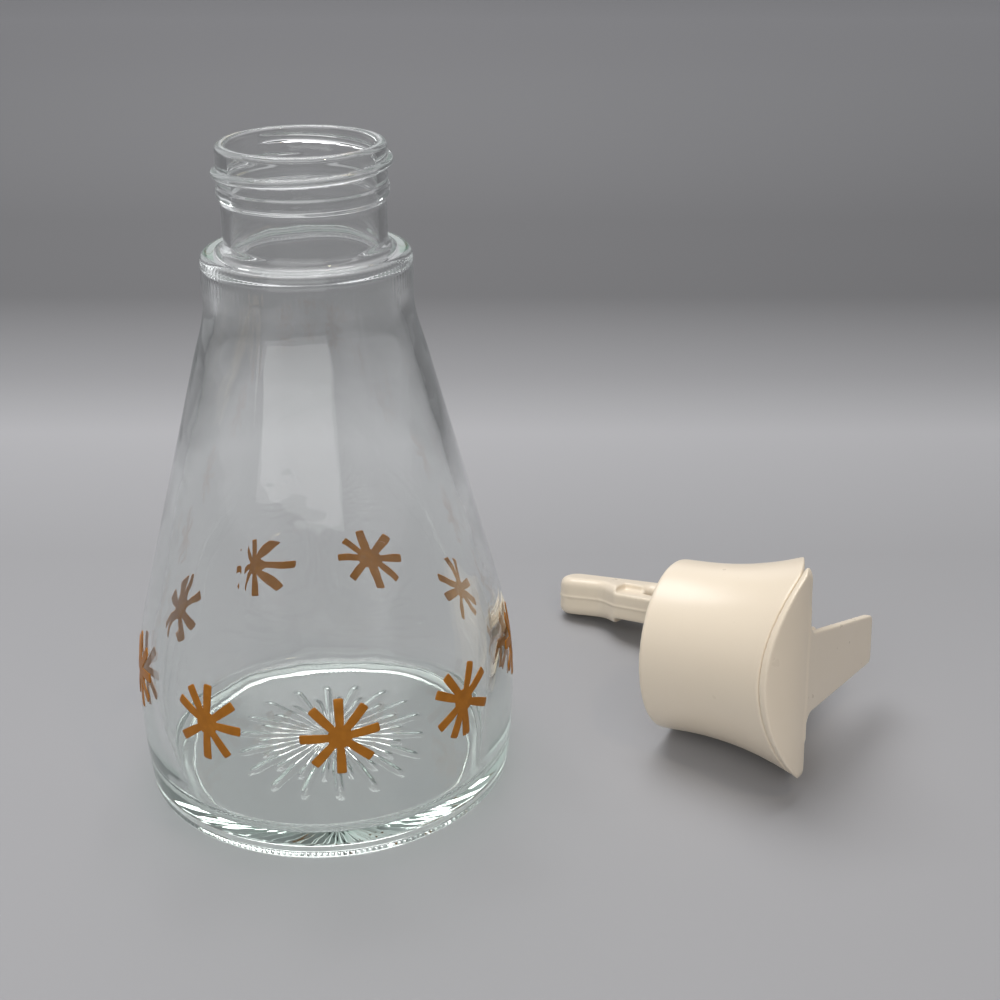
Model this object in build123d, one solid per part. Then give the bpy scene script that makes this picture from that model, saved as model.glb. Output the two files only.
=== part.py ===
"""Syrup dispenser: a conical glass jar, and its screw-on pouring top laid down beside it.

The jar stands on z = 0 with its axis on Z. The pouring top is drawn upright in its own frame,
where the lower edge of its skirt is z = 0, its lip faces -Y and its handle faces +Y. It is then
turned onto its side and set down on the table. All sizes are in millimetres and degrees.
"""
import os
from math import atan2, cos, degrees, hypot, radians, sin, tan

from build123d import *

# Jar: outside
belly_radius = 44.0
belly_height = 20.0
heel_radius = 42.9
heel_rounding = 2.6
cone_foot_radius = 41.0
cone_foot_height = 45.5
cone_top_radius = 25.6
cone_top_height = 103.0
waist_length = 14.0
band_radius = 22.4
band_length = 10.0
shoulder_rounding = 1.6
neck_radius = 17.3
neck_rounding = 2.2
neck_length = 22.5

# Jar: mouth finish
mouth_rounding = 1.1
finish_radius = 17.7
bead_radius = 18.0
bead_drop = 9.7
bead_half_width = 1.3
bead_slope = 0.6
thread_radius = 18.9
thread_half_width = 0.95
thread_pitch = 4.23
thread_turns = 1.1
thread_drop = 7.1
thread_start_angle = 95.0

# Jar: inside
wall = 2.9
heel_wall = 4.8
floor_thickness = 5.5
floor_rounding = 7.0
bore_radius = 15.4
bore_foot_drop = 1.0

# Jar: underside
recess_radius = 35.0
recess_depth = 1.4
flute_count = 36
flute_inner_radius = 5.0
flute_long_radius = 21.5
flute_short_radius = 17.5
flute_half_width = 0.85

# Starbursts
star_count = 9
star_height = 32.7
star_first_angle = 9.5
star_reach = 8.7
star_hub_radius = 2.7
ray_root_width = 1.7
ray_tip_width = 2.1
enamel_thickness = 0.2
ray_patterns = (
    (0, 40, 82, 130, 180, 222, 268, 318),
    (25, 62, 118, 180, 207, 243, 300, 330),
    (0, 49, 90, 140, 180, 233, 294, 326),
)
star_turns = (0, 0, 20, 65, 12, 33, 150, 78, 0)
star_patterns = (0, 1, 0, 1, 0, 2, 1, 0, 2)

# Pouring top: collar
skirt_radius = 21.1
skirt_rounding = 0.8
flare_height = 6.8
ear_radius = 27.0
ear_height = 36.5
crest_offset = 10.2
lip_height = 32.1
lip_reach = 24.7
flap_crown = 1.1
back_slope = 20.3
collar_wall = 1.9
thread_clearance = 0.3
collar_thread_half_width = 0.8
collar_thread_start = 7.2
deck_height = 17.6
deck_thickness = 2.0
throat_radius = 13.0
roof_thickness = 2.0
roof_gap = 0.5

# Pouring top: cover
flap_thickness = 2.0
seam_gap = 0.15
tab_slope = 2.0
tab_reach = 33.5
tab_root_half_width = 9.8
tab_end_half_width = 6.2
tab_thickness = 2.2
tab_corner_radius = 1.6
crest_lap = 1.0
tab_root_radius = 3.0

# Pouring top: hinge and spring
hinge_offset = 1.0
pin_radius = 1.0
pin_clearance = 0.04
pin_overhang = 0.5
knuckle_radius = 2.4
knuckle_width = 2.8
side_clearance = 0.3
window_clearance = 0.6
window_reach = 5.2
lug_radius = 2.6
lug_width = 2.6
lug_depth = 6.0
spring_wire_radius = 0.35
spring_clearance = 0.35
spring_pitch = 1.15
spring_coils = 3
spring_seat_gap = 0.1
roof_leg_fall = 8.0
roof_leg_length = 8.0
tab_leg_rise = 22.0

# Pouring top: sealing ring
seal_thickness = 1.2
seal_clearance = 0.15

# Pouring top: handle
handle_half_width = 5.3
handle_rounding = 2.2
handle_root_depth = 1.5
arm_top = 22.5
arm_depth = 8.0
bar_reach = 46.0
bar_thickness = 7.0
bar_rounding = 10.0
block_end = -51.0
block_outer_reach = 42.8
block_inner_reach = 32.0
block_rounding = 4.5
block_top = -37.0
block_top_reach = 34.0
bend_height = -31.0
bend_reach = 29.5
bend_rounding = 5.0
branch_height = -20.0
branch_reach = 28.0
branch_foot = 6.2
branch_thickness = 5.0
branch_half_width = 3.6
gap_apex = -33.0
gap_wall = 2.6
gap_rounding = 1.6

# Pouring top: how it lies on the table
lid_x = 84.3
lid_y = 17.5
lid_turn = 29.4
lid_tilt = 6.9
lid_roll = 14.4
table_gap = 0.1

# Lengths that follow from the ones above
far = 80.0
band_foot_height = cone_top_height + waist_length
shoulder_height = band_foot_height + band_length
mouth_height = shoulder_height + neck_length
bead_height = mouth_height - bead_drop
thread_start_height = mouth_height - thread_drop
collar_bore = thread_radius + thread_clearance
flare_top = ear_height + 6.0
flare_arc_radius = hypot(ear_height - flare_height, ear_radius - skirt_radius) ** 2 / (
    2 * (ear_radius - skirt_radius)
)
coil_radius = pin_radius + spring_clearance + spring_wire_radius
spring_turns = spring_coils + (180 + tab_leg_rise + roof_leg_fall) / 360
spring_half_width = spring_turns * spring_pitch / 2 + spring_wire_radius
knuckle_inner = spring_half_width + side_clearance
knuckle_outer = knuckle_inner + knuckle_width
lug_inner = knuckle_outer + side_clearance
lug_outer = lug_inner + lug_width
handle_root = skirt_radius - handle_root_depth
window_front = hinge_offset - knuckle_radius - window_clearance
star_step = 360 / star_count
seam_angle = star_first_angle + star_step / 2 - 90


def back_height(y):
    """Height of the collar's roof at a distance behind its axis."""
    return ear_height - (y + crest_offset) * tan(radians(back_slope))


def tab_height(y):
    """Height of the thumb tab's underside at a distance behind the collar's axis."""
    return ear_height + seam_gap + (y + crest_offset) * tan(radians(tab_slope))


# The pin's height, at which the spring's lower leg just clears the roof's edge.
leg_drop = (coil_radius + spring_wire_radius + spring_seat_gap) / cos(radians(roof_leg_fall))
leg_rise = (window_reach - hinge_offset) * tan(radians(roof_leg_fall))
hinge_height = back_height(window_reach) + leg_drop + leg_rise


def turned(edges):
    """Solid of revolution about Z from a closed half section in the XZ plane."""
    return revolve(Plane.XZ * make_face(edges), Axis.Z)


def slab(edges, half_width):
    """Solid from a closed outline in the YZ plane, as thick on both sides of it."""
    return extrude(Plane.YZ * make_face(edges), half_width, both=True)


# ---------------------------------------------------------------- jar


def side_curve(grow=0.0):
    """The jar's side from its heel to the top of its cone, moved outward by grow."""
    heel = (heel_radius + grow, heel_rounding)
    belly = (belly_radius + grow, belly_height)
    foot = (cone_foot_radius + grow, cone_foot_height)
    top = (cone_top_radius + grow, cone_top_height)
    cone_run = (cone_top_radius - cone_foot_radius, cone_top_height - cone_foot_height)
    return [Spline(heel, belly, foot, tangents=[(0.12, 1), cone_run]), Line(foot, top)]


def mouth_curve():
    """The jar's outside from its shoulder band up to the axis at its mouth."""
    band_top = (band_radius, shoulder_height - shoulder_rounding)
    ledge = (band_radius - shoulder_rounding, shoulder_height)
    neck_foot = (neck_radius + neck_rounding, shoulder_height)
    neck = (neck_radius, shoulder_height + neck_rounding)
    bead_foot = (bead_radius, bead_height - bead_half_width)
    bead_top = (bead_radius, bead_height + bead_half_width)
    under_bead = (neck_radius, bead_foot[1] - bead_slope)
    over_bead = (finish_radius, bead_top[1] + bead_slope)
    lip_side = (finish_radius, mouth_height - mouth_rounding)
    lip_top = (finish_radius - mouth_rounding, mouth_height)
    return [
        Line((band_radius, band_foot_height), band_top),
        RadiusArc(band_top, ledge, -shoulder_rounding),
        Line(ledge, neck_foot),
        RadiusArc(neck_foot, neck, neck_rounding),
        Line(neck, under_bead),
        Line(under_bead, bead_foot),
        Line(bead_foot, bead_top),
        Line(bead_top, over_bead),
        Line(over_bead, lip_side),
        RadiusArc(lip_side, lip_top, -mouth_rounding),
        Line(lip_top, (0, mouth_height)),
    ]


def jar_blank():
    """The jar as if it were solid glass, its surfaces' seam between two starbursts."""
    cone_top = (cone_top_radius, cone_top_height)
    band_foot = (band_radius, band_foot_height)
    cone_run = (cone_top_radius - cone_foot_radius, cone_top_height - cone_foot_height)
    heel_edge = (heel_radius - heel_rounding, 0)
    edges = [
        Line((0, 0), heel_edge),
        RadiusArc(heel_edge, (heel_radius, heel_rounding), -heel_rounding),
        *side_curve(),
        Spline(cone_top, band_foot, tangents=[cone_run, (0, 1)]),
        *mouth_curve(),
        Line((0, mouth_height), (0, 0)),
    ]
    return Rot(0, 0, seam_angle) * turned(edges)


def jar_hollow():
    """The space inside the jar."""
    floor_edge = (belly_radius - heel_wall - floor_rounding, floor_thickness)
    heel = (belly_radius - heel_wall, floor_thickness + floor_rounding)
    foot = (cone_foot_radius - wall, cone_foot_height)
    cone_top = (cone_top_radius - wall, cone_top_height)
    band_foot = (band_radius - wall, band_foot_height)
    band_top = (band_radius - wall, shoulder_height - wall - bore_foot_drop)
    bore_foot = (bore_radius, shoulder_height + neck_rounding)
    cone_run = (cone_top[0] - foot[0], cone_top[1] - foot[1])
    edges = [
        Line((0, floor_thickness), floor_edge),
        RadiusArc(floor_edge, heel, -floor_rounding),
        Spline(heel, foot, tangents=[(0.12, 1), cone_run]),
        Line(foot, cone_top),
        Spline(cone_top, band_foot, tangents=[cone_run, (0, 1)]),
        Line(band_foot, band_top),
        Spline(band_top, bore_foot, tangents=[(0, 1), (0, 1)]),
        Line(bore_foot, (bore_radius, mouth_height)),
        Line((bore_radius, mouth_height), (0, mouth_height)),
        Line((0, mouth_height), (0, floor_thickness)),
    ]
    return turned(edges)


def thread_ridge(radius, depth, half_width, start_height, start_angle):
    """A rounded helical ridge on a wall of the given radius, half sunk into it."""
    path = Helix(thread_pitch, thread_pitch * thread_turns, radius)
    section = Plane(origin=path @ 0, x_dir=(1, 0, 0), z_dir=path % 0) * Ellipse(depth, half_width)
    ridge = sweep(section, path=path, is_frenet=True)
    return Pos(0, 0, start_height) * Rot(0, 0, start_angle) * ridge


def base_flutes():
    """Radial V grooves of the sunburst, long and short in turn."""
    flutes = []
    for number in range(flute_count):
        reach = flute_short_radius if number % 2 else flute_long_radius
        length = reach - flute_inner_radius
        groove = Rot(0, 90, 0) * Cone(flute_half_width / 3, flute_half_width, length)
        middle = (reach + flute_inner_radius) / 2
        flutes.append(Rot(0, 0, number * 360 / flute_count) * Pos(middle, 0, recess_depth) * groove)
    return flutes


def make_bottle():
    recess = Pos(0, 0, recess_depth / 2) * Cylinder(recess_radius, recess_depth)
    ridge = thread_ridge(
        finish_radius,
        thread_radius - finish_radius,
        thread_half_width,
        thread_start_height,
        thread_start_angle,
    )
    glass = jar_blank() + ridge - jar_hollow() - recess
    return glass - base_flutes()


# ---------------------------------------------------------------- starbursts


def ray(angle):
    """One blunt ray, wider at its tip, at an angle clockwise from straight up."""
    root = ray_root_width / 2
    tip = ray_tip_width / 2
    outline = Polyline((-root, 0), (-tip, star_reach), (tip, star_reach), (root, 0), close=True)
    return Rot(0, 0, -angle) * make_face(outline)


def enamel_skin():
    """The thin layer just outside the jar's side."""
    inner = side_curve()
    outer = side_curve(enamel_thickness)
    foot = Line(inner[0] @ 0, outer[0] @ 0)
    top = Line(inner[1] @ 1, outer[1] @ 1)
    return Rot(0, 0, seam_angle) * turned([*inner, *outer, foot, top])


def make_starburst(number, skin):
    """A starburst cut from the enamel layer; the first one is nearest the front."""
    angles = ray_patterns[star_patterns[number]]
    shape = Circle(star_hub_radius) + [ray(angle + star_turns[number]) for angle in angles]
    around = star_first_angle - 90 + number * star_step
    outward = (cos(radians(around)), sin(radians(around)), 0)
    across = (-sin(radians(around)), cos(radians(around)), 0)
    start = Vector(outward) * (belly_radius - 3 * wall) + Vector(0, 0, star_height)
    cutter = extrude(Plane(origin=start, x_dir=across, z_dir=outward) * shape, 4 * wall)
    return skin & cutter


# ---------------------------------------------------------------- collar


def flare_blank():
    """The collar's outside as a solid, drawn on past its rim."""
    centre = (skirt_radius + flare_arc_radius, flare_height)
    sweep_angle = degrees(atan2(flare_top - flare_height, flare_arc_radius))
    flare = CenterArc(centre, flare_arc_radius, 180, -sweep_angle)
    rounded = (skirt_radius - skirt_rounding, 0)
    edges = [
        Line((0, 0), rounded),
        RadiusArc(rounded, (skirt_radius, skirt_rounding), -skirt_rounding),
        Line((skirt_radius, skirt_rounding), (skirt_radius, flare_height)),
        flare,
        Line(flare @ 1, (0, (flare @ 1).Y)),
        Line((0, (flare @ 1).Y), (0, 0)),
    ]
    return turned(edges)


def collar_bowl():
    """The space above the deck, whose wall follows the flare."""
    centre = (skirt_radius + flare_arc_radius, flare_height)
    radius = flare_arc_radius + collar_wall
    low = degrees(atan2(deck_height + deck_thickness - flare_height, radius))
    high = degrees(atan2(flare_top - flare_height, radius))
    side = CenterArc(centre, radius, 180 - low, low - high)
    edges = [
        Line((0, (side @ 0).Y), side @ 0),
        side,
        Line(side @ 1, (0, far)),
        Line((0, far), (0, (side @ 0).Y)),
    ]
    return turned(edges)


def flap_arc(raised):
    """The rim's curve from the crest down over the lip, raised along its normal."""
    run = crest_offset - lip_reach
    fall = lip_height - ear_height
    chord = hypot(run, fall)
    radius = chord**2 / (8 * flap_crown) + flap_crown / 2
    normal = (fall / chord, -run / chord)
    down = radius - flap_crown
    centre_y = -(crest_offset + lip_reach) / 2 - normal[0] * down
    centre_z = (ear_height + lip_height) / 2 - normal[1] * down
    start = degrees(atan2(ear_height - centre_z, -crest_offset - centre_y))
    end = degrees(atan2(lip_height - centre_z, -lip_reach - centre_y))
    return CenterArc((centre_y, centre_z), radius + raised, start, 1.5 * (end - start))


def above_rim():
    """Everything above the saddle-shaped rim."""
    front = flap_arc(0)
    end = front @ 1
    edges = [
        front,
        Line(end, (-far, end.Y)),
        Line((-far, end.Y), (-far, far)),
        Line((-far, far), (far, far)),
        Line((far, far), (far, back_height(far))),
        Line((far, back_height(far)), front @ 0),
    ]
    return slab(edges, far)


def collar_roof(blank):
    """The fixed roof behind the crest, with a window for the cover's knuckles and spring."""
    start = roof_gap - crest_offset
    outline = Polyline(
        (start, back_height(start) - roof_thickness),
        (start, back_height(start)),
        (far, back_height(far)),
        (far, back_height(far) - roof_thickness),
        close=True,
    )
    window_depth = window_reach - window_front
    window = Box(2 * lug_inner, window_depth, ear_height)
    window_middle = window_front + window_depth / 2
    return (slab(outline, far) & blank) - Pos(0, window_middle, ear_height) * window


def hinge_lug(side):
    """One lug that stands on the roof beside the window and carries the pin."""
    front = hinge_offset - lug_radius
    depth = hinge_offset + lug_depth
    outline = Polyline(
        (front, back_height(front) - roof_thickness / 2),
        (depth, back_height(depth) - roof_thickness / 2),
        (hinge_offset + lug_radius, hinge_height),
        (front, hinge_height),
        close=True,
    )
    boss = Plane.YZ * Pos(hinge_offset, hinge_height) * Circle(lug_radius)
    web = extrude(Plane.YZ * make_face(outline) + boss, lug_width)
    return Pos(side * (lug_inner + lug_width / 2) - lug_width / 2, 0, 0) * web


def pin_hole(radius):
    """A cylinder along the hinge axis."""
    return Pos(0, hinge_offset, hinge_height) * Rot(0, 90, 0) * Cylinder(radius, 2 * far)


def make_collar():
    blank = flare_blank()
    bore = Cylinder(collar_bore, deck_height, align=(Align.CENTER, Align.CENTER, Align.MIN))
    throat = Cylinder(throat_radius, far, align=(Align.CENTER, Align.CENTER, Align.MIN))
    collar = blank - bore - throat - collar_bowl() - above_rim()
    collar = collar + collar_roof(blank) + hinge_lug(-1) + hinge_lug(1)
    ridge_depth = collar_bore - finish_radius - thread_clearance
    ridge = thread_ridge(collar_bore, ridge_depth, collar_thread_half_width, collar_thread_start, 0)
    return collar + ridge - pin_hole(pin_radius + pin_clearance)


# ---------------------------------------------------------------- cover, pin, spring and seal


def make_flap(blank):
    """The plate over the front of the collar, cut to the flare's outline."""
    lower = flap_arc(seam_gap)
    upper = flap_arc(seam_gap + flap_thickness)
    edges = [lower, Line(lower @ 1, upper @ 1), upper, Line(upper @ 0, lower @ 0)]
    return slab(edges, far) & blank


def is_tab_root(corner):
    """Whether a corner of the tab's outline lies where its side meets the crest."""
    return abs(abs(corner.X) - tab_root_half_width) < 0.01


def make_tab():
    """The thumb tab, which runs back from the crest, with filleted corners at its root."""
    slope = radians(tab_slope)
    length = (tab_reach + crest_offset) / cos(slope)
    crest = (0, -crest_offset, ear_height + seam_gap)
    face = Plane(origin=crest, x_dir=(1, 0, 0), z_dir=(0, -sin(slope), cos(slope)))
    outline = Polyline(
        (-tab_root_half_width, 0),
        (-tab_end_half_width, length),
        (tab_end_half_width, length),
        (tab_root_half_width, 0),
        close=True,
    )
    root_half_width = tab_root_half_width + 2 * tab_root_radius
    root = Pos(0, -crest_lap / 2) * Rectangle(2 * root_half_width, crest_lap)
    shape = make_face(outline) + root
    shape = fillet(shape.vertices().group_by(Axis.Y)[-1], tab_corner_radius)
    inner_corners = shape.vertices().filter_by(is_tab_root)
    shape = fillet(inner_corners, tab_root_radius)
    return extrude(face * shape, tab_thickness)


def knuckle(side):
    """One knuckle that hangs from the tab's root and turns on the pin."""
    top = tab_height(hinge_offset) + tab_thickness / 2
    outline = Polyline(
        (hinge_offset - knuckle_radius, hinge_height),
        (hinge_offset + knuckle_radius, hinge_height),
        (hinge_offset + knuckle_radius, top),
        (hinge_offset - knuckle_radius, top),
        close=True,
    )
    boss = Plane.YZ * Pos(hinge_offset, hinge_height) * Circle(knuckle_radius)
    web = extrude(Plane.YZ * make_face(outline) + boss, knuckle_width)
    return Pos(side * (knuckle_inner + knuckle_width / 2) - knuckle_width / 2, 0, 0) * web


def make_cover():
    cover = make_flap(flare_blank()) + make_tab() + knuckle(-1) + knuckle(1)
    return cover - pin_hole(pin_radius + pin_clearance)


def make_hinge_pin():
    length = 2 * (lug_outer + pin_overhang)
    pin = Pos(0, hinge_offset, hinge_height) * Rot(0, 90, 0) * Cylinder(pin_radius, length)
    return chamfer(pin.edges(), pin_radius / 4)


def make_return_spring():
    """Coil round the pin; one leg rests on the roof's edge, the other lifts the tab."""
    height = spring_turns * spring_pitch
    path = Helix(spring_pitch, height, coil_radius)
    section = Plane(origin=path @ 0, x_dir=(1, 0, 0), z_dir=path % 0) * Circle(spring_wire_radius)
    coil = sweep(section, path=path, is_frenet=True)
    roof_leg = Plane(origin=path @ 0, z_dir=-(path % 0)) * Cylinder(
        spring_wire_radius, roof_leg_length, align=(Align.CENTER, Align.CENTER, Align.MIN)
    )
    rise = radians(tab_leg_rise)
    leg_start = hinge_height + coil_radius * cos(rise)
    leg_end = tab_height(hinge_offset) - spring_wire_radius / cos(rise) - spring_seat_gap
    tab_leg_length = (leg_end - leg_start) / sin(rise)
    tab_leg = Plane(origin=path @ 1, z_dir=path % 1) * Cylinder(
        spring_wire_radius, tab_leg_length, align=(Align.CENTER, Align.CENTER, Align.MIN)
    )
    spring = Rot(0, 0, 90 - roof_leg_fall) * (coil + roof_leg + tab_leg)
    along_pin = Plane(origin=(-height / 2, hinge_offset, hinge_height), x_dir=(0, 1, 0), z_dir=(1, 0, 0))
    return along_pin * spring


def make_sealing_ring():
    outer = Cylinder(collar_bore - seal_clearance, seal_thickness)
    inner = Cylinder(bore_radius, seal_thickness)
    return Pos(0, 0, deck_height - seal_thickness / 2) * (outer - inner)


# ---------------------------------------------------------------- handle


def rounded(face, corners):
    """The face with its corners nearest the given points rounded."""
    for point, radius in corners:
        corner = face.vertices().sort_by_distance((*point, 0))[0]
        face = fillet(corner, radius)
    return face


def handle_outline():
    """The handle's side view: arm, bar, end block and the branch back to the skirt."""
    shoulder = (bar_reach, arm_top)
    block_outer = (block_outer_reach, block_end)
    block_inner = (block_inner_reach, block_end)
    block_step = (block_top_reach, block_top)
    bend = (bend_reach, bend_height)
    branch = (branch_reach, branch_height)
    arm_root = (handle_root, arm_top)
    foot = (handle_root, branch_foot)
    inner_side = (block_inner, block_step, bend, branch, foot)
    outline = Polyline(arm_root, shoulder, block_outer, *inner_side, close=True)
    corners = [(shoulder, bar_rounding), (block_outer, block_rounding), (block_inner, block_rounding)]
    corners += [(block_step, bend_rounding), (bend, bend_rounding), (branch, bar_rounding)]
    return rounded(make_face(outline), corners)


def finger_gap():
    """The opening between the bar, the branch and the collar."""
    elbow = (bar_reach - bar_thickness, arm_top - arm_depth)
    apex = (elbow[0] - branch_thickness / 2, gap_apex)
    branch = (branch_reach + branch_thickness, branch_height)
    near = (skirt_radius + gap_wall, elbow[1])
    outline = Polyline(near, elbow, apex, branch, close=True)
    corners = [(near, gap_rounding), (elbow, bar_rounding / 2)]
    corners += [(apex, gap_rounding), (branch, bar_rounding)]
    return rounded(make_face(outline), corners)


def beside_branch():
    """The space on both sides of the branch, which is narrower than the bar and the end block."""
    elbow = (bar_reach - bar_thickness, arm_top - arm_depth)
    gap_middle = (skirt_radius + gap_wall + elbow[0]) / 2
    apex_middle = elbow[0] - branch_thickness / 2
    lower = ((0, bend_height), (apex_middle, bend_height))
    upper = ((gap_middle, elbow[1]), (0, elbow[1]))
    outline = Polyline(*lower, *upper, close=True)
    return slab([outline], far) - slab([outline], branch_half_width)


def is_free_rim(edge):
    """Whether an edge of the handle lies outside the collar."""
    return edge.center().Y > handle_root + 0.01


def make_handle():
    body = extrude(Plane.YZ * (handle_outline() - finger_gap()), handle_half_width, both=True)
    sides = body.faces().sort_by(Axis.X)
    rims = sides[0].edges() + sides[-1].edges()
    body = fillet(rims.filter_by(is_free_rim), handle_rounding)
    return body - beside_branch() - flare_blank()


# ---------------------------------------------------------------- whole dispenser


def lid_place():
    """Turns the upright pouring top onto its side, lip towards the front."""
    return Pos(lid_x, lid_y, 0) * Rot(0, 0, -lid_turn) * Rot(0, 90 - lid_tilt, 0) * Rot(0, 0, -lid_roll)


def main():
    os.makedirs("parts", exist_ok=True)
    nodes = {"bottle": make_bottle()}
    skin = enamel_skin()
    for number in range(star_count):
        nodes[f"starburst_{number + 1}"] = make_starburst(number, skin)
    lid = {
        "collar": make_collar(),
        "handle": make_handle(),
        "cover": make_cover(),
        "hinge_pin": make_hinge_pin(),
        "return_spring": make_return_spring(),
        "sealing_ring": make_sealing_ring(),
    }
    laid = {name: lid_place() * solid for name, solid in lid.items()}
    lowest = min(solid.bounding_box().min.Z for solid in laid.values())
    for name, solid in laid.items():
        nodes[name] = Pos(0, 0, table_gap - lowest) * solid
    for name, solid in nodes.items():
        solid.label = name
        export_step(solid, f"parts/{name}.step")


if __name__ == "__main__":
    main()
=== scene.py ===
"""Syrup dispenser: glass jar with nine gold starbursts, and its cream pouring top laid down beside it."""
from math import asin, ceil, cos, degrees, exp, hypot, pi, radians, sin, sqrt

import bpy
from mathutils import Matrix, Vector, noise


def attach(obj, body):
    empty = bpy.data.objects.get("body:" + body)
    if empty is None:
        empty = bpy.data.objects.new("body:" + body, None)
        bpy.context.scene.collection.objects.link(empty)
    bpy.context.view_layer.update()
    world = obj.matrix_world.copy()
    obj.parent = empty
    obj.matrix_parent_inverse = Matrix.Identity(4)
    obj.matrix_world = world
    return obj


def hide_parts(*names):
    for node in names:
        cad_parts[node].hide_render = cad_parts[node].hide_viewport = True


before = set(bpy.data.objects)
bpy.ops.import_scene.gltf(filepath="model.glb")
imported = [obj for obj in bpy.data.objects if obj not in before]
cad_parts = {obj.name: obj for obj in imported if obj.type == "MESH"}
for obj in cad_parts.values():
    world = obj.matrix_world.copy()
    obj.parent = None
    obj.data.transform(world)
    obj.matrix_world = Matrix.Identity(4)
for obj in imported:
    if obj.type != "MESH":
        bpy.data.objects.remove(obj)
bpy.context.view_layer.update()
MM = 0.001

# ---------------------------------------------------------------- jar sizes, mm and degrees
# A pair is a radius and a height.

RECESS_DEPTH = 1.4
RECESS_SIDE = 34.8
RECESS_ROUNDING = 0.6
FOOT_ROUNDING = 0.8
FOOT_ROUNDING_HEIGHT = 0.6  # of its centre
BEARING_RING = (36.0, 40.0)
HEEL_ROUNDING = 2.6
HEEL = (42.9, HEEL_ROUNDING)
BELLY = (44.0, 20.0)
CONE_FOOT = (41.0, 45.5)
CONE_TOP = (25.6, 103.0)
CONE_WAY = (CONE_TOP[0] - CONE_FOOT[0], CONE_TOP[1] - CONE_FOOT[1])
BAND = 22.4
BAND_FOOT = (BAND, 117.0)
SHOULDER = 127.0
SHOULDER_ROUNDING = 1.8
NECK = 17.3
NECK_ROUNDING = 2.2
NECK_TOP = 137.5
BEAD = 18.0
BEAD_HEIGHTS = (138.8, 140.6)  # where it is widest
FINISH = 17.7
FINISH_FOOT = 141.4
MOUTH = 149.5
LIP_ROUNDING = 1.1
LIP_TOP = (16.5, MOUTH)
BORE = 15.4
BORE_ROUNDING = 0.9
BORE_FOOT = 129.2
THROAT_FOOT = 123.1
WALL = 2.9
FLOOR = 5.5
FLOOR_ROUNDING = 4.5
FLOOR_SIDE = 39.2

SEGMENTS = 360
SMALLEST_RING = 0.4
SAME = 1e-6

THREAD_START = (95.0, 142.4)  # angle and height
THREAD_PITCH = 4.23
THREAD_SPAN = 396.0
THREAD_DEPTH = 1.2
THREAD_HALF_WIDTH = 0.95
THREAD_TAPER = 26.0

FLUTES = 36
FLUTE_REACH = (24.8, 18.5)
FLUTES_WITHIN = 23.0  # the radius at which they are cut off
FINE_RINGS = (1.5, 23.5)
FLUTE_HALF_WIDTH = 1.35
FLUTE_DEPTH = 0.62
FLUTE_TIP = 5.0
FLUTE_ROOT = (1.0, 6.0)  # the run-up's start before the middle, and its length

STIPPLE_RINGS = (36.5, 37.5, 38.5, 39.5)
STIPPLE_REACH = 0.26
STIPPLE_RISE = 0.28
KNURLS = 120
KNURL_RISE = 0.045
KNURL_INSIDE = 20.0

SEAMS = (-111.5, 68.5)
SEAM_LINE = (0.09, 0.5)  # rise and half width
SEAM_HOLLOW = (0.17, 3.4)
SEAM_FOOT = 42.0
SEAM_FADE = 20.0
SEAM_TOP = SHOULDER - 6
WAVE_TOP = MOUTH - 4
WAVE_FADE = 8.0
OUTER_WAVE = 0.03
INNER_WAVE = 0.26
SLOW_WAVES = (1.3, 30.0, 0.0)  # more of them round the jar, longer ones up it, and their start
FINE_WAVES = (3.4, 14.0, 7.0)
FINE_WAVE_SHARE = 0.45

# ---------------------------------------------------------------- starburst sizes, mm and degrees

STAR_COUNT = 9
STAR_FIRST = -80.5
STAR_HEIGHT = 32.7
STAR_REACH = 8.7
STAR_HUB = 2.7
HUB_STEP = 9.0
RAY_ROOT = 0.85
RAY_TIP = 1.05
RAY_SIDE = ((0.55, 0.94), (0.8, 0.99), (0.965, 1.0), (0.99, 0.86), (1.0, 0.5))  # of its reach, half width
RAY_UNEVEN = 0.025
RAY_PATTERNS = (
    (0, 40, 82, 130, 180, 222, 268, 318),
    (25, 62, 118, 180, 207, 243, 300, 330),
    (0, 49, 90, 140, 180, 233, 294, 326),
)
STAR_TURNS = (0, 0, 20, 65, 12, 33, 150, 78, 0)
STAR_PATTERNS = (0, 1, 0, 1, 0, 2, 1, 0, 2)
ROOT_HALF_ANGLE = degrees(asin(RAY_ROOT / STAR_HUB))
HUB_LEAST_ARC = 4.0
VALLEY_CLEARANCE = 1.06
ENAMEL = 0.18
ENAMEL_RINGS = (0.12, 0.25, 0.38, 0.5, 0.62, 0.74, 0.86, 0.965, 1.0)
ENAMEL_EDGE_SHARE = 0.45
ENAMEL_GRAIN = 0.012
ENAMEL_SUNK = 0.02

# ---------------------------------------------------------------- pouring top, its own frame and sizes in mm

LID_ORIGIN = Vector((84.3, 17.5, 21.111)) * MM
LID_X = Vector((-0.020706, -0.273785, -0.961568))
LID_Y = Vector((0.501510, 0.829176, -0.246889))
LID_Z = Vector((0.864904, -0.487348, 0.120137))
COLLAR_EARS = (25.77, 36.5, 3.4)  # side, top and rounding
COVER_EARS = (25.99, 38.65, 3.6)
FLASH_HALF_WIDTH = 0.3
FLASH_RISE = 0.16
FLASH_REACH = 3.0  # in half widths

# ---------------------------------------------------------------- studio, metres and watts

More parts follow.
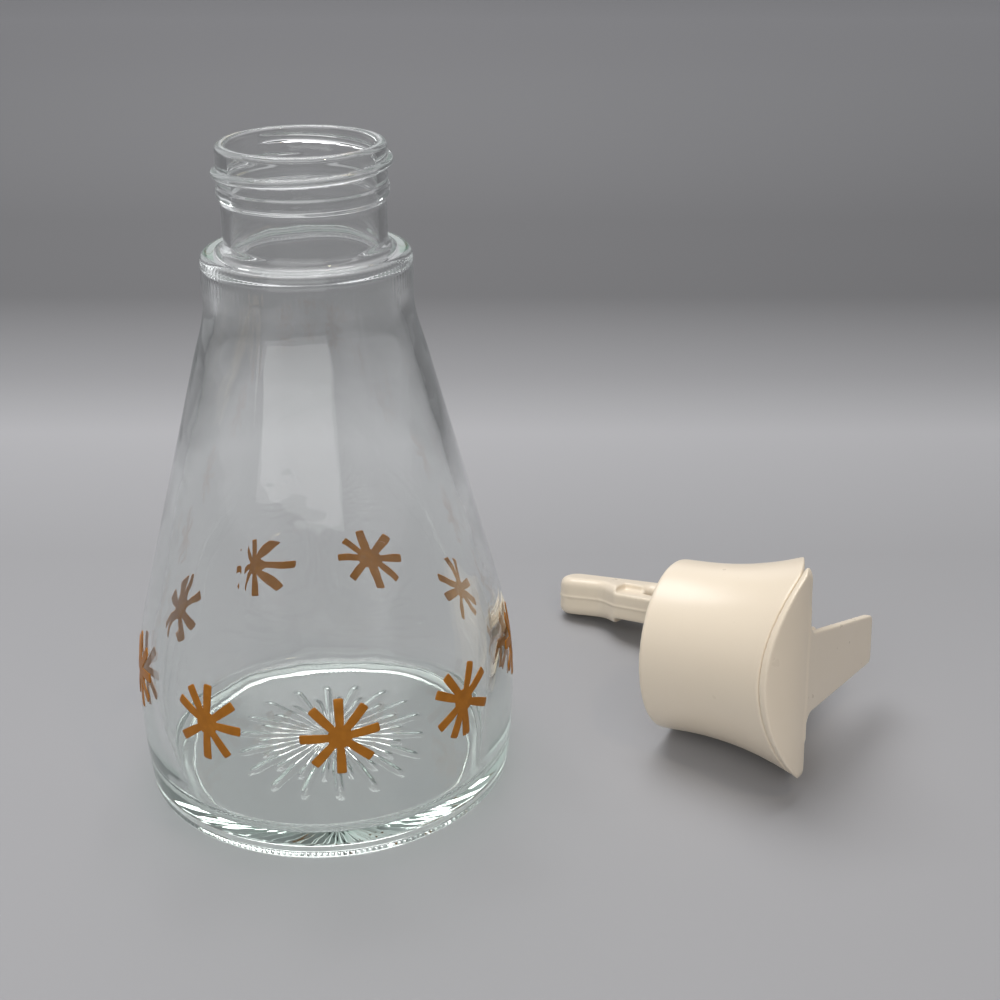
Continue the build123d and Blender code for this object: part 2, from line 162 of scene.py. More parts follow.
TABLE_HALF = 6.0
TABLE_FAR = 1.4
# Painted light and shade on the flat floor, by distance: lit floor, a painted shadow band at the foot of a
# backdrop wall, and the wall beyond.
TABLE_PAINTED_SHADING = (
    (0.0, 0.355),
    (0.11, 0.33),
    (0.21, 0.40),
    (0.27, 0.285),
    (0.38, 0.15),
    (0.52, 0.175),
    (0.98, 0.37),
    (1.35, 0.5),
)
TABLE_BLUE = 1.04
SKY_BLUE = 1.02
DARK_SIDE = (0.1, -0.95, 0.35)
WINDOW_SIDE = (-0.74, 0.58, 0.34)
DOORWAY_SIDE = (-0.12, 0.92, 0.36)
MIRRORED_STRENGTH = 3.0
SEEN_GREY = (0.13, 0.13, 0.1326, 1)
WHITE = (1.0, 1.0, 1.0)
WARM = (1.0, 0.78, 0.5)
LAMP_AIM = Vector((0.03, 0.0, 0.05))
LAMPS = (
    ("softbox_top", (-0.08, 0.30, 0.85), (0.6, 0.6), 5.9, WHITE),
    ("fill_front", (-0.10, -0.90, 0.6), (1.4, 1.0), 5.2, WHITE),
    ("warm_bulb", (0.30, -0.25, 0.75), (0.04, 0.04), 0.35, WARM),
)
CAMERA_SENSOR = 36.0
CAMERA_LENS = 55.8
CAMERA_PLACE = (0.04094, -0.32015, 0.21447)
CAMERA_TILT = 65.46

# Past this many bounces, all of them or the mirrored ones, light goes straight through the glass.
RAY_DEPTH = 7.5
GLOSSY_DEPTH = 2.5

# Colour sockets of Blender's Mix node.
MIX_FIRST = 6
MIX_SECOND = 7
MIX_RESULT = 2

# ---------------------------------------------------------------- meshes


def new_piece(name, vertices, faces):
    """A smooth-shaded piece from points in mm."""
    mesh = bpy.data.meshes.new(name)
    mesh.from_pydata([Vector(vertex) * MM for vertex in vertices], [], faces)
    mesh.validate()
    mesh.shade_smooth()
    piece = bpy.data.objects.new(name, mesh)
    bpy.context.scene.collection.objects.link(piece)
    return piece


def band_faces(first, second, count):
    """Faces between two rings of points, each ring given by the number of its first point."""
    faces = []
    for step in range(count):
        after = (step + 1) % count
        faces.append((first + step, first + after, second + after, second + step))
    return faces


def fan_faces(middle, ring, count):
    """Triangles between a middle point and a ring of points."""
    return [(middle, ring + (step + 1) % count, ring + step) for step in range(count)]


def turned_over(faces):
    """The same faces, seen from their other side."""
    return [face[::-1] for face in faces]


def line(start, end, step=1.5):
    """Points from start up to but not including end, about a step apart."""
    run = end[0] - start[0]
    rise = end[1] - start[1]
    count = max(1, ceil(hypot(run, rise) / step))
    return [(start[0] + run * i / count, start[1] + rise * i / count) for i in range(count)]


def arc(centre, radius, start, end, count):
    """Points of an arc up to but not including its end, angles in degrees."""
    angles = [radians(start + (end - start) * i / count) for i in range(count)]
    return [(centre[0] + radius * cos(a), centre[1] + radius * sin(a)) for a in angles]


def bend(start, end, start_way, end_way, count=12):
    """A cubic from start up to but not including end, that leaves and arrives along the given ways."""
    chord = hypot(end[0] - start[0], end[1] - start[1])
    leave = [part / hypot(*start_way) * chord for part in start_way]
    arrive = [part / hypot(*end_way) * chord for part in end_way]
    points = []
    for i in range(count):
        t = i / count
        from_start = 2 * t**3 - 3 * t**2 + 1
        from_leave = t**3 - 2 * t**2 + t
        from_end = 3 * t**2 - 2 * t**3
        from_arrive = t**3 - t**2
        points.append(
            tuple(
                from_start * start[k] + from_leave * leave[k] + from_end * end[k] + from_arrive * arrive[k]
                for k in (0, 1)
            )
        )
    return points


# ---------------------------------------------------------------- the jar's glass


def underside_profile():
    """From the middle of the recess to the outer edge of the ring that the jar stands on."""
    fine_start, fine_end = FINE_RINGS
    recess_end = RECESS_SIDE - RECESS_ROUNDING
    recess = [(SMALLEST_RING, RECESS_DEPTH)]
    recess += line((fine_start, RECESS_DEPTH), (fine_end, RECESS_DEPTH), step=0.8)
    recess += line((fine_end, RECESS_DEPTH), (recess_end, RECESS_DEPTH), step=1.6)
    recess += arc((recess_end, RECESS_DEPTH - RECESS_ROUNDING), RECESS_ROUNDING, 90, 0, count=4)
    # this rounding is centred a little low, so the table cuts it off flat
    recess += arc((RECESS_SIDE + FOOT_ROUNDING, FOOT_ROUNDING_HEIGHT), FOOT_ROUNDING, 180, 270, count=4)
    recess = [(radius, max(height, 0.0)) for radius, height in recess]
    ring_start, ring_end = BEARING_RING
    return recess + line((ring_start, 0), (ring_end, 0), step=0.5) + [(ring_end, 0)]


def side_profile():
    """The jar's outside from its heel up to the rounding of its shoulder."""
    return (
        bend(HEEL, BELLY, (0.12, 1), (0, 1))
        + bend(BELLY, CONE_FOOT, (0, 1), CONE_WAY, count=16)
        + line(CONE_FOOT, CONE_TOP, step=2.0)
        + bend(CONE_TOP, BAND_FOOT, CONE_WAY, (0, 1))
        + line(BAND_FOOT, (BAND, SHOULDER - SHOULDER_ROUNDING))
    )


def neck_profile():
    """The shoulder's ledge, the neck, the transfer bead and the finish up to the lip."""
    ledge_end = NECK + NECK_ROUNDING
    rounded = BAND - SHOULDER_ROUNDING
    ledge = arc((rounded, SHOULDER - SHOULDER_ROUNDING), SHOULDER_ROUNDING, 0, 90, count=8)
    ledge += line((rounded, SHOULDER), (ledge_end, SHOULDER), step=0.5)
    neck = arc((ledge_end, SHOULDER + NECK_ROUNDING), NECK_ROUNDING, 270, 180, count=8)
    neck += line((NECK, SHOULDER + NECK_ROUNDING), (NECK, NECK_TOP), step=1.2)
    bead_low, bead_high = BEAD_HEIGHTS
    bead = bend((NECK, NECK_TOP), (BEAD, bead_low), (0.2, 1), (0.2, 1), count=8)
    bead += line((BEAD, bead_low), (BEAD, bead_high), step=0.6)
    bead += bend((BEAD, bead_high), (FINISH, FINISH_FOOT), (0, 1), (0, 1), count=6)
    finish = line((FINISH, FINISH_FOOT), (FINISH, MOUTH - LIP_ROUNDING), step=0.16)
    lip = arc((FINISH - LIP_ROUNDING, MOUTH - LIP_ROUNDING), LIP_ROUNDING, 0, 90, count=7)
    return ledge + neck + bead + finish + lip


def inner_profile():
    """From the top of the lip down the inside to the middle of the floor."""
    inner_band = BAND - WALL
    cone_top = (CONE_TOP[0] - WALL, CONE_TOP[1])
    cone_foot = (CONE_FOOT[0] - WALL, CONE_FOOT[1])
    down_cone = (-CONE_WAY[0], -CONE_WAY[1])
    floor_round = FLOOR + FLOOR_ROUNDING
    floor_edge = FLOOR_SIDE - FLOOR_ROUNDING
    inside = [LIP_TOP]
    inside += arc((BORE + BORE_ROUNDING, MOUTH - BORE_ROUNDING), BORE_ROUNDING, 90, 180, count=7)
    inside += line((BORE, MOUTH - BORE_ROUNDING), (BORE, BORE_FOOT), step=1.2)
    inside += bend((BORE, BORE_FOOT), (inner_band, THROAT_FOOT), (0, -1), (0, -1), count=16)
    inside += line((inner_band, THROAT_FOOT), (inner_band, BAND_FOOT[1]))
    inside += bend((inner_band, BAND_FOOT[1]), cone_top, (0, -1), down_cone)
    inside += line(cone_top, cone_foot, step=2.0)
    inside += bend(cone_foot, (FLOOR_SIDE, floor_round), down_cone, (-0.12, -1), count=16)
    inside += arc((floor_edge, floor_round), FLOOR_ROUNDING, 0, -90, count=12)
    return inside + line((floor_edge, FLOOR), (SMALLEST_RING, FLOOR), step=2.2) + [(SMALLEST_RING, FLOOR)]


def outer_profile():
    """The glass's half section from the middle of its underside up to its lip."""
    heel = arc((HEEL[0] - HEEL_ROUNDING, HEEL_ROUNDING), HEEL_ROUNDING, -90, 0, count=10)
    return underside_profile() + heel + side_profile() + neck_profile()


def thread_height(height, angle):
    """How far the thread ridge stands out of the finish at a point of it."""
    start_angle, start_height = THREAD_START
    out = 0.0
    for turn in (0, 360):
        travel = angle + turn - start_angle
        if 0 <= travel <= THREAD_SPAN:
            ends = min(1.0, travel / THREAD_TAPER, (THREAD_SPAN - travel) / THREAD_TAPER)
            away = (height - start_height - THREAD_PITCH * travel / 360) / THREAD_HALF_WIDTH
            if abs(away) < 1:
                out = max(out, THREAD_DEPTH * sin(ends * pi / 2) * sqrt(1 - away * away))
    return out


def flute_rise(radius, angle):
    """How far a sunburst flute cuts up into the underside."""
    place = angle / 360 * FLUTES
    number = round(place)
    reach = FLUTE_REACH[number % 2]
    pitch = radians(360 / FLUTES) * radius
    across = abs(place - number) * pitch / min(pitch / 2, FLUTE_HALF_WIDTH)
    if radius > reach or across > 1:
        return 0.0
    before, run_up = FLUTE_ROOT
    ends = min(1.0, (reach - radius) / FLUTE_TIP, (radius + before) / run_up)
    return FLUTE_DEPTH * sin(ends * pi / 2) * (1 + cos(pi * across)) / 2


def stippled(radius, step):
    """Whether a point of the bearing ring is one of its small dimples."""
    return step % 2 == 1 and any(abs(radius - ring) < STIPPLE_REACH for ring in STIPPLE_RINGS)


def seam_wave(angle, radius, outside):
    """The two mould seams: a fine raised line outside, a shallow hollow of the wall inside."""
    rise, half_width = SEAM_LINE if outside else SEAM_HOLLOW
    wave = 0.0
    for seam in SEAMS:
        away = radians((angle - seam + 180) % 360 - 180) * radius
        wave += rise * exp(-((away / half_width) ** 2))
    return wave


def waves(turn, height, around, length, start):
    """Noise on the jar's side, from about -1 to 1."""
    return noise.noise(Vector((cos(turn) * around, sin(turn) * around, height / length + start)))


def blown_wave(turn, height):
    """The slow unevenness of pressed and blown glass, with a finer one on it."""
    return waves(turn, height, *SLOW_WAVES) + FINE_WAVE_SHARE * waves(turn, height, *FINE_WAVES)


def side_offset(radius, height, angle, outside):
    """How far the glass's side stands out of its plain profile, outside or inside."""
    turn = radians(angle)
    fade = min(1.0, (height - FLOOR) / WAVE_FADE, (WAVE_TOP - height) / WAVE_FADE)
    offset = fade * (OUTER_WAVE if outside else INNER_WAVE) * blown_wave(turn, height)
    if height < SEAM_TOP:
        seam_fade = min(fade, max(0.0, (height - SEAM_FOOT) / SEAM_FADE))
        offset += seam_fade * seam_wave(angle, radius, outside)
    elif outside and height <= SHOULDER and radius > KNURL_INSIDE:
        offset += KNURL_RISE * cos(KNURLS * turn)
    return offset


def moulded_point(radius, height, step, outside):
    """One point of the plain profile, moved by what the mould and the blowing give it there."""
    angle = step * 360 / SEGMENTS
    turn = radians(angle)
    if outside and FINISH_FOOT <= height <= MOUTH - LIP_ROUNDING:
        radius += thread_height(height, angle)
    elif abs(height - RECESS_DEPTH) < SAME and radius < FLUTES_WITHIN:
        height += flute_rise(radius, angle)
    elif height < SAME:
        if stippled(radius, step):
            height += STIPPLE_RISE
    elif FLOOR < height < WAVE_TOP:
        radius += side_offset(radius, height, angle, outside)
    return (radius * cos(turn), radius * sin(turn), height)


def make_glass():
    """The jar as one closed skin: outside, mouth and inside."""
    vertices = []
    for profile, outside in ((outer_profile(), True), (inner_profile(), False)):
        for radius, height in profile:
            vertices += [moulded_point(radius, height, step, outside) for step in range(SEGMENTS)]
    last = len(vertices) - SEGMENTS
    faces = []
    for ring in range(0, last, SEGMENTS):
        faces += band_faces(ring, ring + SEGMENTS, SEGMENTS)
    bottom = len(vertices)
    vertices += [(0, 0, RECESS_DEPTH), (0, 0, FLOOR)]
    faces += fan_faces(bottom, 0, SEGMENTS)
    faces += turned_over(fan_faces(bottom + 1, last, SEGMENTS))
    return new_piece("glass_jar", vertices, faces)


# ---------------------------------------------------------------- the starbursts


OUTSIDE = side_profile() + [(BAND, SHOULDER - SHOULDER_ROUNDING)]


def outer_radius(height):
    """The jar's outside radius at a height of its belly or cone."""
    for (low_radius, low), (high_radius, high) in zip(OUTSIDE, OUTSIDE[1:]):
        if low <= height <= high:
            return low_radius + (high_radius - low_radius) * (height - low) / (high - low)
    return BAND


def ray_outline(angle, reach):
    """Points round one ray, out along its one side and back along the other."""
    turn = radians(angle)
    out = Vector((sin(turn), cos(turn)))
    across = Vector((cos(turn), -sin(turn)))
    near = [out * reach * along - across * RAY_TIP * half for along, half in RAY_SIDE]
    far = [out * reach * along + across * RAY_TIP * half for along, half in reversed(RAY_SIDE)]
    return near + far


def hub_outline(angle, following):
    """Points round the hub between two rays: an arc of it, or one valley where the rays stand close."""
    gap = following - angle
    if gap > 2 * ROOT_HALF_ANGLE + HUB_LEAST_ARC:
        start = angle + ROOT_HALF_ANGLE
        end = following - ROOT_HALF_ANGLE
        steps = max(1, int((end - start) / HUB_STEP))
        turns = [radians(start + (end - start) * i / steps) for i in range(steps + 1)]
        return [Vector((sin(turn), cos(turn))) * STAR_HUB for turn in turns]
    middle = radians(angle + gap / 2)
    valley = max(STAR_HUB, RAY_ROOT * VALLEY_CLEARANCE / sin(radians(gap / 2)))
    return [Vector((sin(middle), cos(middle))) * valley]


def star_outline(number):
    """Points (across, up) round one starburst, clockwise from its first ray."""
    pattern = RAY_PATTERNS[STAR_PATTERNS[number]]
    angles = sorted((angle + STAR_TURNS[number]) % 360 for angle in pattern)
    following = angles[1:] + [angles[0] + 360]
    points = []
    for index, angle in enumerate(angles):
        wobble = noise.noise(Vector((number * 3.7, index * 1.9, 0.5)))
        points += ray_outline(angle, STAR_REACH * (1 + RAY_UNEVEN * wobble))
        points += hub_outline(angle, following[index])
    return points


def on_jar(number, across, up, lift):
    """A point of a starburst, laid round the jar's side."""
    middle = radians(STAR_FIRST + number * 360 / STAR_COUNT)
    height = STAR_HEIGHT + up
    radius = outer_radius(height)
    turn = middle + across / radius
    return ((radius + lift) * cos(turn), (radius + lift) * sin(turn), height)


def make_star(number):
    """One fired-on starburst: a thin skin of enamel with a soft edge, its back just inside the glass."""
    outline = star_outline(number)
    count = len(outline)
    vertices = [on_jar(number, 0, 0, ENAMEL)]
    for share in ENAMEL_RINGS:
        lift = ENAMEL if share < 1 else ENAMEL * ENAMEL_EDGE_SHARE
        for point in outline:
            across = point.x * share
            up = point.y * share
            grain = ENAMEL_GRAIN * noise.noise(Vector((across * 0.9, up * 0.9, number * 5.0)))
            vertices.append(on_jar(number, across, up, lift + grain))
    back = len(vertices)
    vertices.append(on_jar(number, 0, 0, -ENAMEL_SUNK))
    for share in ENAMEL_RINGS:
        vertices += [on_jar(number, point.x * share, point.y * share, -ENAMEL_SUNK) for point in outline]
    edge = 1 + (len(ENAMEL_RINGS) - 1) * count
    faces = fan_faces(0, 1, count) + turned_over(fan_faces(back, back + 1, count))
    for ring in range(1, edge, count):
        faces += band_faces(ring, ring + count, count)
        faces += band_faces(back + ring + count, back + ring, count)
    faces += band_faces(edge, back + edge, count)
    return new_piece(f"enamel_star_{number + 1}", vertices, faces)


# ---------------------------------------------------------------- the moulded pieces


def lid_point(point):
    """A point's place in the pouring top's own frame, in mm."""
    away = point - LID_ORIGIN
    return Vector((away.dot(LID_X), away.dot(LID_Y), away.dot(LID_Z))) / MM


def modified(piece, kind, **settings):
    """Works one modifier into a piece's mesh."""
    modifier = piece.modifiers.new(kind, kind)
    for key, value in settings.items():
        setattr(modifier, key, value)
    graph = bpy.context.evaluated_depsgraph_get()
    piece.data = bpy.data.meshes.new_from_object(piece.evaluated_get(graph))
    piece.modifiers.clear()


def round_ears(piece, side, top, radius):
    """Rounds the two pointed ears, each a corner at x = +-side, z = top of the pouring top's frame."""
    for vertex in piece.data.vertices:
        place = lid_point(vertex.co)
        out = abs(place.x) - (side - radius)
        up = place.z - (top - radius)
        away = hypot(out, up)
        if out > 0 and up > 0 and away > radius:
            back = 1 - radius / away
            along = -out * back if place.x > 0 else out * back
            vertex.co += (LID_X * along - LID_Z * up * back) * MM


def softened(node, name, voxel, passes, ears):
    """A moulded copy of a CAD node, its hard edges eased by a fine remesh and smoothing."""
    piece = bpy.data.objects.new(name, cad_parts[node].data.copy())
    bpy.context.scene.collection.objects.link(piece)
    modified(piece, "REMESH", mode="VOXEL", voxel_size=voxel * MM)
    if ears:
        round_ears(piece, *ears)
    modified(piece, "SMOOTH", factor=0.5, iterations=passes)
    piece.data.name = name
    piece.data.materials.clear()
    piece.data.shade_smooth()
    return piece


def raise_parting_line(piece):
    """The thin line of flash where the two halves of the handle's mould met."""
    normals = [vertex.normal.copy() for vertex in piece.data.vertices]
    for vertex, normal in zip(piece.data.vertices, normals):
        away = lid_point(vertex.co).x / FLASH_HALF_WIDTH
        if abs(away) < FLASH_REACH:
            vertex.co += normal * (FLASH_RISE * exp(-away * away)) * MM
    piece.data.update()


# ---------------------------------------------------------------- material helpers


def new_material(name):
    """A material, its node tree, and its Principled shader, which is linked to the output."""
    material = bpy.data.materials.new(name)
    material.use_nodes = True
    tree = material.node_tree
    tree.nodes.clear()
    output = tree.nodes.new("ShaderNodeOutputMaterial")
    shader = tree.nodes.new("ShaderNodeBsdfPrincipled")
    tree.links.new(shader.outputs["BSDF"], output.inputs["Surface"])
    return material, tree, shader


def set_inputs(shader, **values):
    """Sets constants on a shader's own sockets."""
    for key, value in values.items():
        shader.inputs[key.replace("_", " ")].default_value = value


def object_noise(tree, scale, detail=2.0):
    """Noise in the piece's own coordinates."""
    place = tree.nodes.new("ShaderNodeTexCoord")
    texture = tree.nodes.new("ShaderNodeTexNoise")
    texture.inputs["Scale"].default_value = scale
    texture.inputs["Detail"].default_value = detail
    tree.links.new(place.outputs["Object"], texture.inputs["Vector"])
    return texture.outputs["Fac"]


def ramp(tree, source, stops):
    """A colour that follows a number through stops of (place, colour)."""
    node = tree.nodes.new("ShaderNodeValToRGB")
    elements = node.color_ramp.elements
    while len(elements) < len(stops):
        elements.new(0.5)
    for element, (place, colour) in zip(elements, stops):
        element.position = place
        element.color = (*colour, 1)
    tree.links.new(source, node.inputs["Fac"])
    return node.outputs["Color"]


def spread(tree, source, low, high):
    """A number from 0 to 1, spread from low to high."""
    node = tree.nodes.new("ShaderNodeMapRange")
    node.inputs["To Min"].default_value = low
    node.inputs["To Max"].default_value = high
    tree.links.new(source, node.inputs["Value"])
    return node.outputs["Result"]


def two_numbers(tree, kind, first, second):
    """One of Blender's sums on two numbers, of which the second may be a plain one."""
    node = tree.nodes.new("ShaderNodeMath")
    node.operation = kind
    tree.links.new(first, node.inputs[0])
    if isinstance(second, float):
        node.inputs[1].default_value = second
    else:
        tree.links.new(second, node.inputs[1])
    return node.outputs["Value"]


def bump(tree, shader, source, distance, strength):
    """Fine relief of the surface, its distance in metres."""
    node = tree.nodes.new("ShaderNodeBump")
    node.inputs["Distance"].default_value = distance
    node.inputs["Strength"].default_value = strength
    tree.links.new(source, node.inputs["Height"])
    tree.links.new(node.outputs["Normal"], shader.inputs["Normal"])


def skin_material(name, colour, roughness, relief, **settings):
    """A material whose colour, roughness and fine relief each follow a noise of their own.

    Each of the three starts with its noise's scale and detail. Then come the colour's stops, the roughness's
    least and most, and the relief's distance and strength. The settings go on the shader.
    """
    material, tree, shader = new_material(name)
    set_inputs(shader, **settings)
    scale, detail, stops = colour
    tree.links.new(ramp(tree, object_noise(tree, scale, detail), stops), shader.inputs["Base Color"])
    scale, detail, least, most = roughness
    tree.links.new(spread(tree, object_noise(tree, scale, detail), least, most), shader.inputs["Roughness"])
    scale, detail, distance, strength = relief
    bump(tree, shader, object_noise(tree, scale, detail), distance, strength)
    return material


def dress(piece, material):
    """Puts one material on all of a piece."""
    if piece.material_slots:
        for place in piece.material_slots:
            place.material = material
    else:
        piece.data.materials.append(material)


# ---------------------------------------------------------------- materials


def rays_straight_through(tree):
    """1 for soft light and for light long caught in the glass, which both go through it unbent, else 0."""
    path = tree.nodes.new("ShaderNodeLightPath")
    soft = two_numbers(tree, "MAXIMUM", path.outputs["Is Shadow Ray"], path.outputs["Is Diffuse Ray"])
    deep = two_numbers(tree, "GREATER_THAN", path.outputs["Ray Depth"], RAY_DEPTH)
    trapped = two_numbers(tree, "GREATER_THAN", path.outputs["Glossy Depth"], GLOSSY_DEPTH)
    return two_numbers(tree, "MAXIMUM", soft, two_numbers(tree, "MAXIMUM", deep, trapped))


def glass_material():
    """Clear pressed glass, faintly green where it is thick."""
    material, tree, shader = new_material("clear_glass")
    set_inputs(shader, IOR=1.5, Transmission_Weight=1.0, Base_Color=(1, 1, 1, 1))
    tree.links.new(spread(tree, object_noise(tree, 60), 0.0, 0.03), shader.inputs["Roughness"])
    bump(tree, shader, object_noise(tree, 140, 1.0), 0.0002, 0.25)
    clear = tree.nodes.new("ShaderNodeBsdfTransparent")
    clear.inputs["Color"].default_value = (0.945, 0.95, 0.948, 1)
    mix = tree.nodes.new("ShaderNodeMixShader")
    tree.links.new(rays_straight_through(tree), mix.inputs[0])
    tree.links.new(shader.outputs["BSDF"], mix.inputs[1])
    tree.links.new(clear.outputs["BSDF"], mix.inputs[2])
    tint = tree.nodes.new("ShaderNodeVolumeAbsorption")
    tint.inputs["Color"].default_value = (0.80, 0.93, 0.86, 1)
    tint.inputs["Density"].default_value = 25.0
    output = tree.get_output_node("ALL")
    tree.links.new(mix.outputs["Shader"], output.inputs["Surface"])
    tree.links.new(tint.outputs["Volume"], output.inputs["Volume"])
    return material


def enamel_material():
    """Fired gold-brown enamel, a little uneven."""
    browns = ((0.25, (0.37, 0.135, 0.010)), (0.55, (0.44, 0.162, 0.012)), (0.8, (0.52, 0.205, 0.02)))
    return skin_material(
        "gold_enamel",
        colour=(420, 4.0, browns),
        roughness=(700, 2.0, 0.3, 0.5),
        relief=(1600, 2.0, 0.00005, 0.4),
        Metallic=0.15,
        Specular_IOR_Level=0.3,
    )


def plastic_material(name):
    """Glossy cream moulding with faint mottling and a skin that isn't quite flat."""
    creams = ((0.3, (0.835, 0.725, 0.575)), (0.52, (0.85, 0.74, 0.59)), (0.75, (0.86, 0.755, 0.61)))
    return skin_material(
        name,
        colour=(26, 3.0, creams),
        roughness=(240, 3.0, 0.24, 0.36),
        relief=(900, 2.0, 0.00002, 0.1),
        IOR=1.49,
        Coat_Weight=0.08,
        Coat_Roughness=0.2,
    )


def steel_material(name):
    """Bright drawn wire, its fine scratches and slight stains."""
    greys = ((0.3, (0.42, 0.41, 0.40)), (0.7, (0.62, 0.61, 0.59)))
    return skin_material(
        name,
        colour=(900, 3.0, greys),
        roughness=(1500, 3.0, 0.18, 0.38),
        relief=(3000, 2.0, 0.00003, 0.3),
        Metallic=1.0,
    )


def seal_material():
    """Matt off-white rubber."""
    whites = ((0.3, (0.50, 0.48, 0.44)), (0.7, (0.60, 0.58, 0.53)))
    return skin_material(
        "seal_rubber",
        colour=(500, 3.0, whites),
        roughness=(900, 2.0, 0.6, 0.8),
        relief=(2500, 2.0, 0.00006, 0.5),
    )


# ---------------------------------------------------------------- the jar

glass = make_glass()
dress(glass, glass_material())
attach(glass, "jar")
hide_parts("bottle")

enamel = enamel_material()
for number in range(STAR_COUNT):
    star = make_star(number)
    dress(star, enamel)
    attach(star, "jar")
    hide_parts(f"starburst_{number + 1}")

# ---------------------------------------------------------------- the pouring top

# CAD node, its piece and body, voxel in mm, passes of smoothing, and ears
MOULDED_PIECES = (
    ("collar", "moulded_collar", "top", 0.3, 18, COLLAR_EARS),
    ("handle", "moulded_handle", "top", 0.27, 40, None),
    ("cover", "moulded_cover", "cover", 0.28, 18, COVER_EARS),
)
for node, name, body, voxel, passes, ears in MOULDED_PIECES:
    piece = softened(node, name, voxel, passes, ears)
    if node == "handle":
        raise_parting_line(piece)
    dress(piece, plastic_material(f"cream_{node}"))
    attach(piece, body)
    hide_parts(node)

dress(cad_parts["hinge_pin"], steel_material("steel_pin"))
dress(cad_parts["return_spring"], steel_material("steel_spring"))
dress(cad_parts["sealing_ring"], seal_material())

# ---------------------------------------------------------------- studio


def make_table():
    """A wide plain table; its grey changes a little with the distance: painted light and shade that stand in
    for a backdrop wall and its sweep.
    """
    low = -TABLE_HALF
    high = TABLE_HALF
    mesh = bpy.data.meshes.new("studio_floor")
    mesh.from_pydata([(low, low, 0), (high, low, 0), (high, high, 0), (low, high, 0)], [], [(0, 1, 2, 3)])
    table = bpy.data.objects.new("studio_floor", mesh)
    bpy.context.scene.collection.objects.link(table)
    material, tree, shader = new_material("table_top")
    set_inputs(shader, Roughness=0.7)
    place = tree.nodes.new("ShaderNodeTexCoord")
    split = tree.nodes.new("ShaderNodeSeparateXYZ")
    tree.links.new(place.outputs["Object"], split.inputs["Vector"])
    away = tree.nodes.new("ShaderNodeMapRange")
    away.inputs["From Max"].default_value = TABLE_FAR
    tree.links.new(split.outputs["Y"], away.inputs["Value"])
    # the floor's grey stops are painted light and shade of a backdrop wall and sweep
    stops = [(distance / TABLE_FAR, (grey, grey, grey * TABLE_BLUE)) for distance, grey in TABLE_PAINTED_SHADING]
    tree.links.new(ramp(tree, away.outputs["Result"], stops), shader.inputs["Base Color"])
    table.data.materials.append(material)


def make_lamp(name, place, size, power, colour):
    """A rectangular lamp that faces the object."""
    lamp = bpy.data.lights.new(name, "AREA")
    lamp.shape = "RECTANGLE"
    lamp.size, lamp.size_y = size
    lamp.energy = power
    lamp.color = colour
    holder = bpy.data.objects.new(name, lamp)
    holder.location = place
    holder.rotation_euler = (LAMP_AIM - Vector(place)).to_track_quat("-Z", "Y").to_euler()
    bpy.context.scene.collection.objects.link(holder)


def grey_stops(*stops):
    """Ramp stops of a faintly blue grey, from (place, level) pairs."""
    return [(place, (level, level, level * SKY_BLUE)) for place, level in stops]


def sky_part(tree, direction, toward, stops):
    """A soft patch of the sky round one direction; the stops follow the cosine of the angle to it."""
    facing = tree.nodes.new("ShaderNodeVectorMath")
    facing.operation = "DOT_PRODUCT"
    facing.inputs[1].default_value = Vector(toward).normalized()
    tree.links.new(direction, facing.inputs[0])
    return ramp(tree, facing.outputs["Value"], stops)


def blend(tree, kind, first, second):
    """Two colours added or multiplied."""
    node = tree.nodes.new("ShaderNodeMix")
    node.data_type = "RGBA"
    node.blend_type = kind
    node.inputs[0].default_value = 1.0
    tree.links.new(first, node.inputs[MIX_FIRST])
    tree.links.new(second, node.inputs[MIX_SECOND])
    return node.outputs[MIX_RESULT]


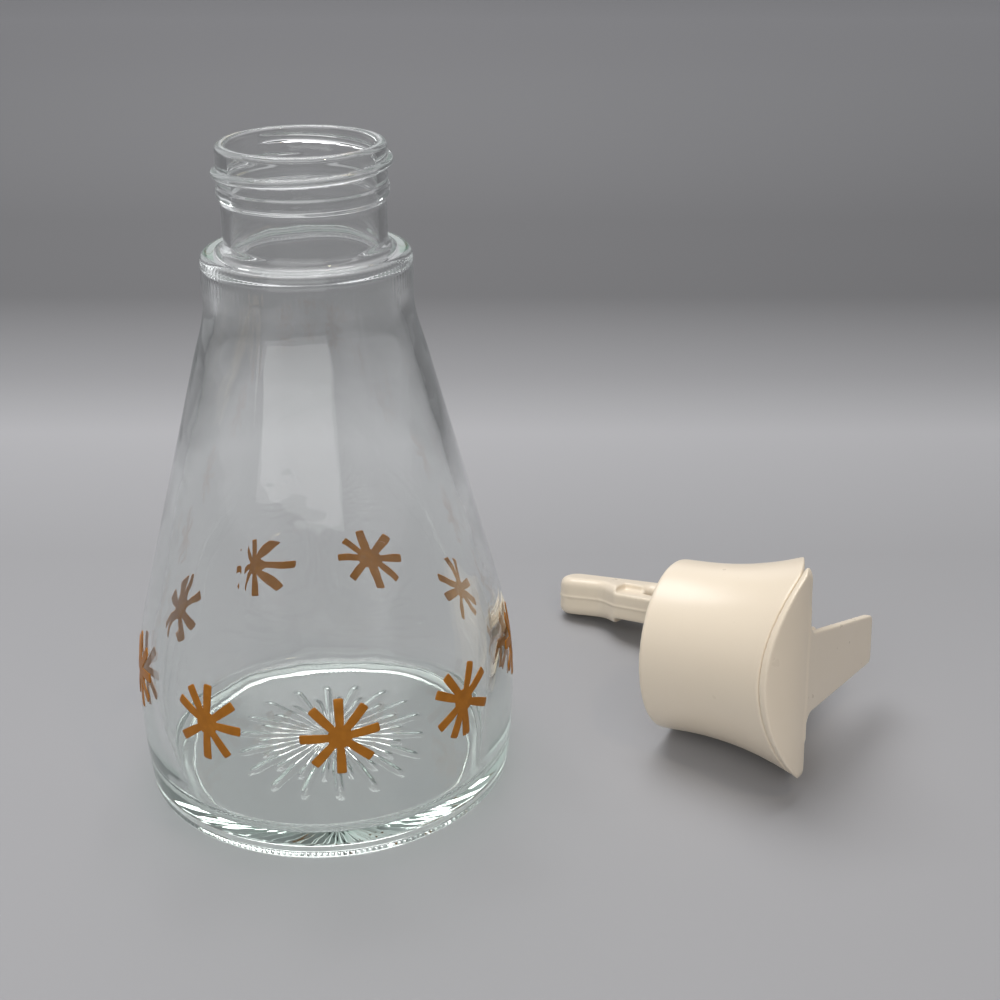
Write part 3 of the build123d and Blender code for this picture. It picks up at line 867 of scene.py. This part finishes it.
def mirrored_sky(tree, direction, height):
    """What gloss mirrors and glass bends: a dim room, dark in front, with a window and a doorway behind."""
    room = ramp(tree, height, grey_stops((0.0, 0.127), (0.12, 0.08), (0.5, 0.06), (1.0, 0.12)))
    dark = sky_part(tree, direction, DARK_SIDE, grey_stops((0.80, 1.0), (0.9, 0.12)))
    window = sky_part(tree, direction, WINDOW_SIDE, grey_stops((0.80, 0.0), (0.90, 0.07), (1.0, 0.2)))
    doorway = sky_part(tree, direction, DOORWAY_SIDE, grey_stops((0.976, 0.0), (0.986, 0.3)))
    return blend(tree, "ADD", blend(tree, "MULTIPLY", room, dark), blend(tree, "ADD", window, doorway))


def sky_light(tree, colour, strength=1.0):
    """The light of a sky with a changing colour."""
    light = tree.nodes.new("ShaderNodeBackground")
    light.inputs["Strength"].default_value = strength
    tree.links.new(colour, light.inputs["Color"])
    return light.outputs["Background"]


def make_world():
    """Even grey light on the object, a room for gloss and glass, and a plain grey for the camera."""
    world = bpy.data.worlds.new("studio")
    bpy.context.scene.world = world
    world.use_nodes = True
    tree = world.node_tree
    tree.nodes.clear()
    place = tree.nodes.new("ShaderNodeTexCoord")
    direction = place.outputs["Generated"]
    split = tree.nodes.new("ShaderNodeSeparateXYZ")
    tree.links.new(direction, split.inputs["Vector"])
    height = split.outputs["Z"]
    even = sky_light(tree, ramp(tree, height, grey_stops((0.0, 0.18), (0.5, 0.27), (1.0, 0.34))))
    plain = tree.nodes.new("ShaderNodeBackground")
    plain.inputs["Color"].default_value = SEEN_GREY
    shown = sky_light(tree, mirrored_sky(tree, direction, height), MIRRORED_STRENGTH)
    path = tree.nodes.new("ShaderNodeLightPath")
    for ray, light in (("Is Diffuse Ray", even), ("Is Camera Ray", plain.outputs["Background"])):
        mix = tree.nodes.new("ShaderNodeMixShader")
        tree.links.new(path.outputs[ray], mix.inputs[0])
        tree.links.new(shown, mix.inputs[1])
        tree.links.new(light, mix.inputs[2])
        shown = mix.outputs["Shader"]
    output = tree.nodes.new("ShaderNodeOutputWorld")
    tree.links.new(shown, output.inputs["Surface"])


def make_camera():
    """The camera at the place, tilt and lens of the main view."""
    camera = bpy.data.objects.new("camera", bpy.data.cameras.new("camera"))
    camera.data.sensor_width = CAMERA_SENSOR
    camera.data.lens = CAMERA_LENS
    camera.location = CAMERA_PLACE
    camera.rotation_euler = (radians(CAMERA_TILT), 0, 0)
    bpy.context.scene.collection.objects.link(camera)
    bpy.context.scene.camera = camera


make_table()
make_world()
for lamp in LAMPS:
    make_lamp(*lamp)
make_camera()
bpy.context.scene.view_settings.view_transform = "Standard"
